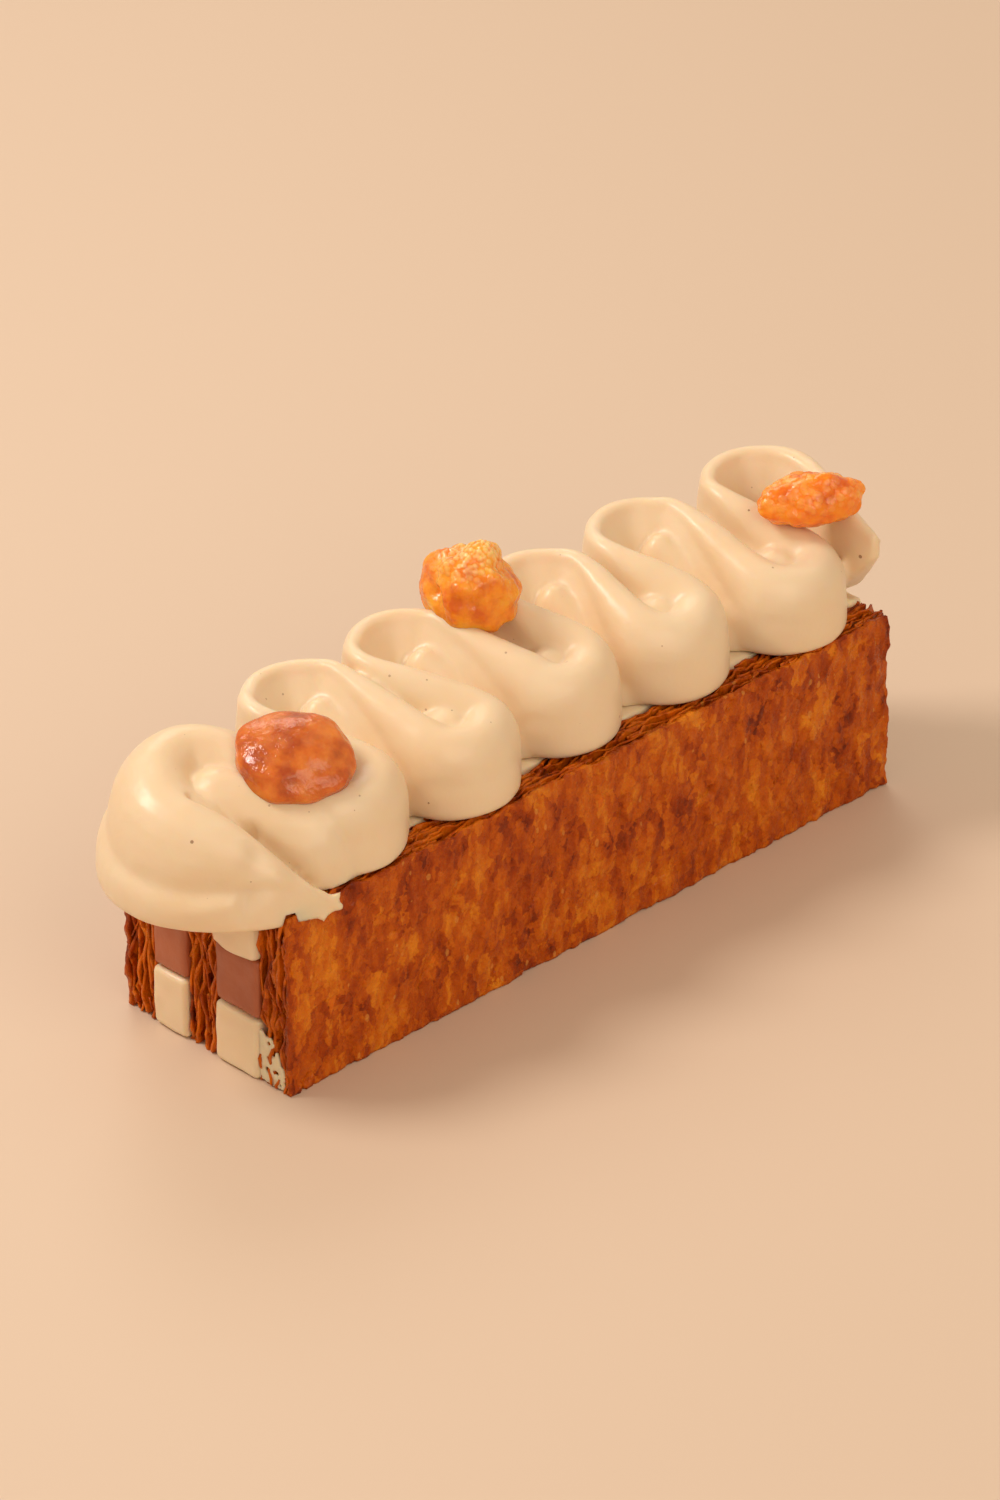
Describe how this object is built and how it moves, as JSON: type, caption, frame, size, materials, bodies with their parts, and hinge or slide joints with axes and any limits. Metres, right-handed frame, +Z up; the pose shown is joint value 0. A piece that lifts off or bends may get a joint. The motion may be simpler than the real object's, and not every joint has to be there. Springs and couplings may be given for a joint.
{
  "type": "mille-feuille slice",
  "caption": "Single mille-feuille slice stood on its edge: upright puff pastry sheets around praline and vanilla cream, with a winding ribbon of piped cream and candied fruit on top.",
  "frame": {"origin": "the middle of the whole piece's box, on the surface that it stands on", "axes": "+X along the slice, from the end with the fat curl of cream to the end where the ribbon is torn off; -Y is the front sheet's broad face; +Z up"},
  "size_m": [0.1439, 0.0364, 0.0571],
  "materials": {
    "pastry": "baked puff pastry with a thin caramel glaze",
    "vanilla_cream": "smooth satin cream with fine dark specks",
    "praline": "smooth satin praline cream",
    "fruit": "wet, glossy and see-through candied fruit"
  },
  "bodies": {
    "root": {"pastry_front": "pastry", "pastry_middle": "pastry", "pastry_back": "pastry", "cream_lower_front": "vanilla_cream", "praline_front": "praline", "cream_upper_front": "vanilla_cream", "cream_lower_back": "vanilla_cream", "praline_back": "praline", "cream_upper_back": "vanilla_cream", "piped_cream": "vanilla_cream", "fruit_near": "fruit", "fruit_middle": "fruit", "fruit_far": "fruit"}
  },
  "joints": []
}
